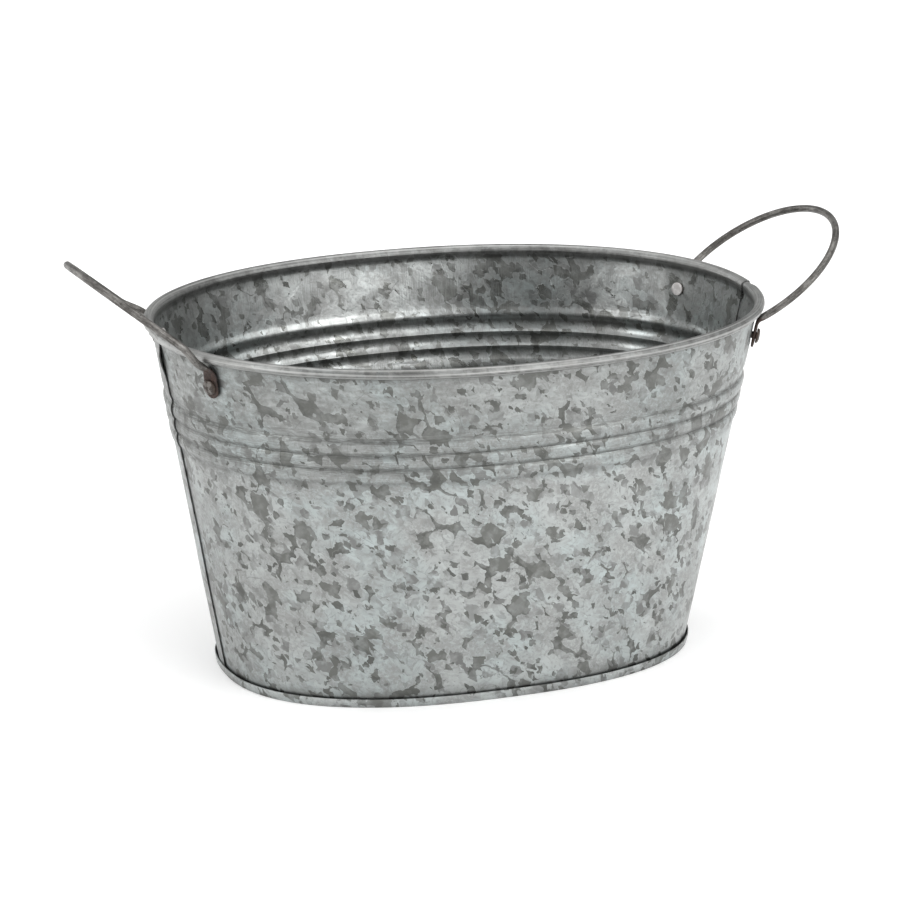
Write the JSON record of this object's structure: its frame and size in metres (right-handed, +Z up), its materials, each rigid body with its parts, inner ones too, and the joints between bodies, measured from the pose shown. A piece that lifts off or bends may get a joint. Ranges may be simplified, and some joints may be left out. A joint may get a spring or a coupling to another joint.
{
  "type": "oval metal tub",
  "caption": "Oval galvanised steel tub with tapered lapped walls, raised beads, a rolled rim, a folded base pan and a riveted wire loop handle at each end.",
  "frame": {"origin": "centre of the oval, on the surface that the tub stands on", "axes": "+Z up, +X along the oval's long axis towards the right handle, +Y towards the rear wall panel"},
  "size_m": [0.4528, 0.2526, 0.2459],
  "materials": {
    "galvanised_sheet": "hot-dip zinc coating with large jagged crystal flakes, light blue-grey with darker warm grey flakes, half gloss, scratched inside",
    "handle_wire": "dull dark grey-brown oxidised steel wire with worn lighter stretches and some rust at the riveted ends",
    "rivet_steel": "plain pinkish light grey steel, dull"
  },
  "bodies": {
    "root": {"wall_panel_front": "galvanised_sheet", "wall_panel_rear": "galvanised_sheet", "base_pan": "galvanised_sheet", "rim_wire": "handle_wire", "handle_left": "handle_wire", "handle_right": "handle_wire", "rivet_left_front": "rivet_steel", "rivet_left_rear": "rivet_steel", "rivet_right_front": "rivet_steel", "rivet_right_rear": "rivet_steel"}
  },
  "joints": []
}
